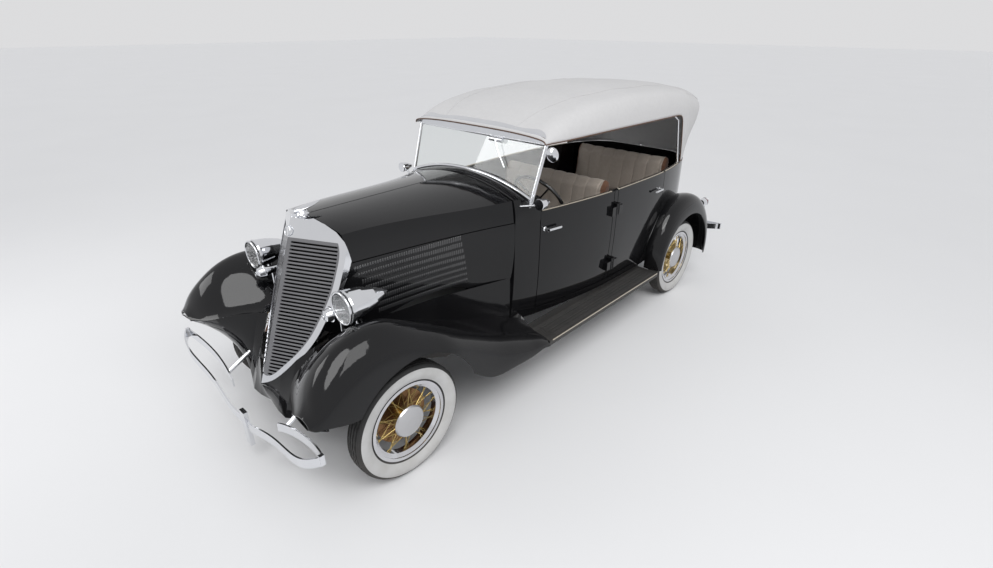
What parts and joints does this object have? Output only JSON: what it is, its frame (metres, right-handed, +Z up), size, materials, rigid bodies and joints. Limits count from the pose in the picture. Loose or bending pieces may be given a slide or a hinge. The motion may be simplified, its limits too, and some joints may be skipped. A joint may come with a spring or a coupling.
{
  "type": "four-door open touring car",
  "caption": "Open four-door touring car with raised canvas top, centre-hinged hood, V grille, wire wheels, running boards and two-bar bumpers.",
  "frame": {"origin": "on the ground, at the middle of the car's length and width", "axes": "+Z up, the front of the car faces -Y, +X to the car's left"},
  "size_m": [1.7068, 4.8217, 1.9628],
  "materials": {
    "tyre": "matt",
    "chrome": "polished",
    "spoke_gold": "satin",
    "chassis_black": "satin",
    "engine_grey": "matt",
    "body_black": "gloss",
    "core_black": "matt",
    "board_black": "ribbed",
    "clear_glass": "clear",
    "canvas": "woven",
    "seat_cloth": "pleated",
    "dash_brown": "satin",
    "wheel_black": "gloss",
    "lens_glass": "fluted"
  },
  "bodies": {
    "wheel_front_left": {"tyre_front_left": "tyre", "rim_front_left": "chrome", "hub_front_left": "spoke_gold"},
    "wheel_front_right": {"tyre_front_right": "tyre", "rim_front_right": "chrome", "hub_front_right": "spoke_gold"},
    "wheel_rear_left": {"tyre_rear_left": "tyre", "rim_rear_left": "chrome", "hub_rear_left": "spoke_gold"},
    "wheel_rear_right": {"tyre_rear_right": "tyre", "rim_rear_right": "chrome", "hub_rear_right": "spoke_gold"},
    "knuckle_left": {"knuckle_left": "chassis_black"},
    "hood_left": {"hood_left": "body_black"},
    "door_front_left": {"door_front_left": "body_black"},
    "door_rear_left": {"door_rear_left": "body_black"},
    "knuckle_right": {"knuckle_right": "chassis_black"},
    "hood_right": {"hood_right": "body_black"},
    "door_front_right": {"door_front_right": "body_black"},
    "door_rear_right": {"door_rear_right": "body_black"},
    "steering_wheel": {"steering_wheel": "wheel_black"},
    "chassis": {"front_axle": "chassis_black", "rear_axle": "chassis_black", "frame_rails": "chassis_black", "engine_block": "engine_grey", "body_tub": "body_black", "cowl": "body_black", "hood_sides": "body_black", "radiator_shell": "chrome", "grille": "chrome", "radiator_core": "core_black", "front_fenders": "body_black", "rear_fenders": "body_black", "running_boards": "board_black", "windshield_frame": "chrome", "windshield_glass": "clear_glass", "canvas_top": "canvas", "top_irons": "chrome", "seat_front": "seat_cloth", "seat_rear": "seat_cloth", "dashboard": "dash_brown", "lamp_shells": "chrome", "lamp_lenses": "lens_glass", "horns": "chrome", "bumper_front": "chrome", "bumper_rear": "chrome", "tail_lamps": "chrome", "fuel_tank": "chassis_black"}
  },
  "joints": [
    {"name": "steer_left", "type": "hinge", "parent": "chassis", "child": "knuckle_left", "pos_m": [0.565, -1.77, 0.36], "axis": [0, 0, 1], "range_deg": [-30, 30]},
    {"name": "steer_right", "type": "hinge", "parent": "chassis", "child": "knuckle_right", "pos_m": [-0.565, -1.77, 0.36], "axis": [0, 0, 1], "range_deg": [-30, 30]},
    {"name": "spin_front_left", "type": "hinge", "parent": "knuckle_left", "child": "wheel_front_left", "pos_m": [0.715, -1.77, 0.36], "axis": [1, 0, 0], "continuous": true},
    {"name": "spin_front_right", "type": "hinge", "parent": "knuckle_right", "child": "wheel_front_right", "pos_m": [-0.715, -1.77, 0.36], "axis": [1, 0, 0], "continuous": true},
    {"name": "spin_rear_left", "type": "hinge", "parent": "chassis", "child": "wheel_rear_left", "pos_m": [0.72, 1.48, 0.36], "axis": [1, 0, 0], "continuous": true},
    {"name": "spin_rear_right", "type": "hinge", "parent": "chassis", "child": "wheel_rear_right", "pos_m": [-0.72, 1.48, 0.36], "axis": [1, 0, 0], "continuous": true},
    {"name": "door_front_left_hinge", "type": "hinge", "parent": "chassis", "child": "door_front_left", "pos_m": [0.726, 0.3368, 0.87], "axis": [0, 0, 1], "range_deg": [0, 65]},
    {"name": "door_rear_left_hinge", "type": "hinge", "parent": "chassis", "child": "door_rear_left", "pos_m": [0.726, 0.3632, 0.87], "axis": [0, 0, -1], "range_deg": [0, 65]},
    {"name": "hood_left_hinge", "type": "hinge", "parent": "chassis", "child": "hood_left", "pos_m": [0.006, -1.17, 1.43907], "axis": [0, -0.9999, -0.0135], "range_deg": [0, 50]},
    {"name": "door_front_right_hinge", "type": "hinge", "parent": "chassis", "child": "door_front_right", "pos_m": [-0.726, 0.3368, 0.87], "axis": [0, 0, -1], "range_deg": [0, 65]},
    {"name": "door_rear_right_hinge", "type": "hinge", "parent": "chassis", "child": "door_rear_right", "pos_m": [-0.726, 0.3632, 0.87], "axis": [0, 0, 1], "range_deg": [0, 65]},
    {"name": "hood_right_hinge", "type": "hinge", "parent": "chassis", "child": "hood_right", "pos_m": [-0.006, -1.17, 1.43907], "axis": [0, 0.9999, 0.0135], "range_deg": [0, 50]},
    {"name": "steering_wheel_turn", "type": "hinge", "parent": "chassis", "child": "steering_wheel", "pos_m": [0.33, -0.13, 1.215], "axis": [0, 0.848, 0.5299], "range_deg": [-400, 400]}
  ],
  "couplings": [
    {"joint": "steer_right", "follows": "steer_left", "ratio": 1},
    {"joint": "steering_wheel_turn", "follows": "steer_left", "ratio": 12}
  ]
}
